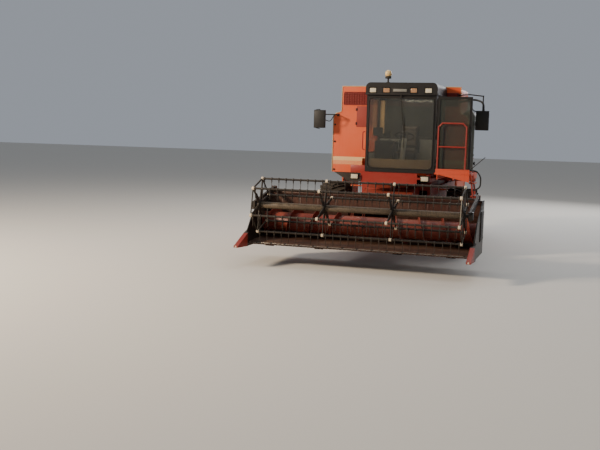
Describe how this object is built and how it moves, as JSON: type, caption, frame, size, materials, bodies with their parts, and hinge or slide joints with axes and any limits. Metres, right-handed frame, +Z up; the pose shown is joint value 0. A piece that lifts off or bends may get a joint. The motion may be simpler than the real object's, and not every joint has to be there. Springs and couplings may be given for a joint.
{
  "type": "combine harvester",
  "caption": "Self-propelled rotary combine with a closed cab, grain tank with folded unloading auger, feeder house and a grain header with pickup reel.",
  "frame": {"origin": "on the ground, below the centre of the bounding box", "axes": "+X is the machine's left, +Y points to its rear, +Z is up; it drives toward -Y"},
  "size_m": [4.65, 9.57, 4.11],
  "materials": {
    "orange_paint": "satin, faded and dusty",
    "red_paint": "satin, worn and dusty",
    "black_paint": "satin",
    "grey_paint": "satin, dusty",
    "tan_paint": "satin",
    "bare_steel": "polished by use",
    "tyre": "dusty rubber",
    "engine_iron": "painted iron",
    "smoked_glass": "tinted",
    "seat_fabric": "woven",
    "cab_plastic": "moulded",
    "lamp_lens": "clear lens over reflector"
  },
  "bodies": {
    "chassis": {"main_frame": "red_paint", "front_axle": "red_paint", "rear_axle": "red_paint", "separator_body": "red_paint", "grain_tank": "orange_paint", "tank_extension": "orange_paint", "tank_auger": "bare_steel", "side_shields": "orange_paint", "engine": "engine_iron", "engine_hood": "orange_paint", "straw_hood": "orange_paint", "fuel_tank": "black_paint", "grain_elevator": "red_paint", "cab_shell": "black_paint", "cab_roof": "black_paint", "cab_glass": "smoked_glass", "seat": "seat_fabric", "console": "cab_plastic", "platform": "red_paint", "mirrors": "black_paint", "lamps": "lamp_lens", "unload_upright": "grey_paint"},
    "wheel_front_left": {"front_tyre_left": "tyre", "front_rim_left": "tan_paint"},
    "wheel_front_right": {"front_tyre_right": "tyre", "front_rim_right": "tan_paint"},
    "knuckle_left": {"knuckle_left": "red_paint"},
    "knuckle_right": {"knuckle_right": "red_paint"},
    "tie_rod": {"tie_rod": "bare_steel"},
    "wheel_rear_left": {"rear_tyre_left": "tyre", "rear_rim_left": "tan_paint"},
    "wheel_rear_right": {"rear_tyre_right": "tyre", "rear_rim_right": "tan_paint"},
    "rotary_screen": {"rotary_screen": "black_paint"},
    "cab_door": {"cab_door": "black_paint", "door_glass": "smoked_glass"},
    "unload_tube": {"unload_tube": "grey_paint"},
    "lift_barrels": {"lift_barrels": "black_paint"},
    "lift_rods": {"lift_rods": "bare_steel"},
    "header": {"feeder_house": "red_paint", "header_frame": "red_paint", "header_ends": "red_paint", "header_floor": "red_paint"},
    "header_auger": {"header_auger": "red_paint"},
    "reel_arms": {"reel_arms": "black_paint"},
    "reel": {"reel": "black_paint"},
    "reel_bat_1": {"reel_bat_1": "black_paint"},
    "reel_bat_2": {"reel_bat_2": "black_paint"},
    "reel_bat_3": {"reel_bat_3": "black_paint"},
    "reel_bat_4": {"reel_bat_4": "black_paint"},
    "reel_bat_5": {"reel_bat_5": "black_paint"},
    "reel_bat_6": {"reel_bat_6": "black_paint"}
  },
  "joints": [
    {"name": "front_left_spin", "type": "hinge", "parent": "chassis", "child": "wheel_front_left", "pos_m": [1.52, -0.325, 0.75], "axis": [1, 0, 0], "continuous": true},
    {"name": "front_right_spin", "type": "hinge", "parent": "chassis", "child": "wheel_front_right", "pos_m": [-1.52, -0.325, 0.75], "axis": [1, 0, 0], "continuous": true},
    {"name": "steer_left", "type": "hinge", "parent": "chassis", "child": "knuckle_left", "pos_m": [0.98, 3.125, 0.63], "axis": [0, 0, 1], "range_deg": [-38, 38]},
    {"name": "steer_right", "type": "hinge", "parent": "chassis", "child": "knuckle_right", "pos_m": [-0.98, 3.125, 0.63], "axis": [0, 0, 1], "range_deg": [-38, 38]},
    {"name": "tie_rod_swing", "type": "hinge", "parent": "knuckle_left", "child": "tie_rod", "pos_m": [0.98, 3.375, 0.586], "axis": [0, 0, 1], "range_deg": [-38, 38]},
    {"name": "rear_left_spin", "type": "hinge", "parent": "knuckle_left", "child": "wheel_rear_left", "pos_m": [1.25, 3.125, 0.63], "axis": [1, 0, 0], "continuous": true},
    {"name": "rear_right_spin", "type": "hinge", "parent": "knuckle_right", "child": "wheel_rear_right", "pos_m": [-1.25, 3.125, 0.63], "axis": [1, 0, 0], "continuous": true},
    {"name": "screen_spin", "type": "hinge", "parent": "chassis", "child": "rotary_screen", "pos_m": [-1.05, 2.675, 2.54], "axis": [1, 0, 0], "continuous": true},
    {"name": "door_swing", "type": "hinge", "parent": "chassis", "child": "cab_door", "pos_m": [1.083, -1.688, 2.72], "axis": [0, 0, 1], "range_deg": [0, 90]},
    {"name": "unload_swing", "type": "hinge", "parent": "chassis", "child": "unload_tube", "pos_m": [1.57, -0.125, 3], "axis": [0, 0, -1], "range_deg": [0, 95]},
    {"name": "feeder_lift", "type": "hinge", "parent": "chassis", "child": "header", "pos_m": [0, -0.585, 1.5], "axis": [-1, 0, 0], "range_deg": [-4, 12]},
    {"name": "lift_barrel_swing", "type": "hinge", "parent": "chassis", "child": "lift_barrels", "pos_m": [0, -0.555, 0.75], "axis": [-1, 0, 0], "range_deg": [-6, 15]},
    {"name": "lift_rod_slide", "type": "slide", "parent": "lift_barrels", "child": "lift_rods", "axis": [0, -0.991, -0.1335], "range_m": [-0.1, 0.3]},
    {"name": "header_auger_spin", "type": "hinge", "parent": "header", "child": "header_auger", "pos_m": [0, -3.185, 0.8], "axis": [1, 0, 0], "continuous": true},
    {"name": "reel_lift", "type": "hinge", "parent": "header", "child": "reel_arms", "pos_m": [0, -2.885, 1.49], "axis": [-1, 0, 0], "range_deg": [0, 25]},
    {"name": "reel_spin", "type": "hinge", "parent": "reel_arms", "child": "reel", "pos_m": [0, -4.045, 1.21], "axis": [1, 0, 0], "continuous": true},
    {"name": "bat_1_level", "type": "hinge", "parent": "reel", "child": "reel_bat_1", "pos_m": [0, -4.45093, 1.56914], "axis": [1, 0, 0], "continuous": true},
    {"name": "bat_2_level", "type": "hinge", "parent": "reel", "child": "reel_bat_2", "pos_m": [0, -3.93694, 1.74112], "axis": [1, 0, 0], "continuous": true},
    {"name": "bat_3_level", "type": "hinge", "parent": "reel", "child": "reel_bat_3", "pos_m": [0, -3.53101, 1.38198], "axis": [1, 0, 0], "continuous": true},
    {"name": "bat_4_level", "type": "hinge", "parent": "reel", "child": "reel_bat_4", "pos_m": [0, -3.63907, 0.85086], "axis": [1, 0, 0], "continuous": true},
    {"name": "bat_5_level", "type": "hinge", "parent": "reel", "child": "reel_bat_5", "pos_m": [0, -4.15306, 0.67888], "axis": [1, 0, 0], "continuous": true},
    {"name": "bat_6_level", "type": "hinge", "parent": "reel", "child": "reel_bat_6", "pos_m": [0, -4.55899, 1.03802], "axis": [1, 0, 0], "continuous": true}
  ],
  "couplings": [
    {"joint": "steer_right", "follows": "steer_left", "ratio": 1},
    {"joint": "tie_rod_swing", "follows": "steer_left", "ratio": -1},
    {"joint": "lift_barrel_swing", "follows": "feeder_lift", "ratio": 1.01},
    {"joint": "lift_rod_slide", "follows": "feeder_lift", "m_per_rad": 0.74},
    {"joint": "bat_1_level", "follows": "reel_spin", "ratio": -1},
    {"joint": "bat_2_level", "follows": "reel_spin", "ratio": -1},
    {"joint": "bat_3_level", "follows": "reel_spin", "ratio": -1},
    {"joint": "bat_4_level", "follows": "reel_spin", "ratio": -1},
    {"joint": "bat_5_level", "follows": "reel_spin", "ratio": -1},
    {"joint": "bat_6_level", "follows": "reel_spin", "ratio": -1}
  ]
}
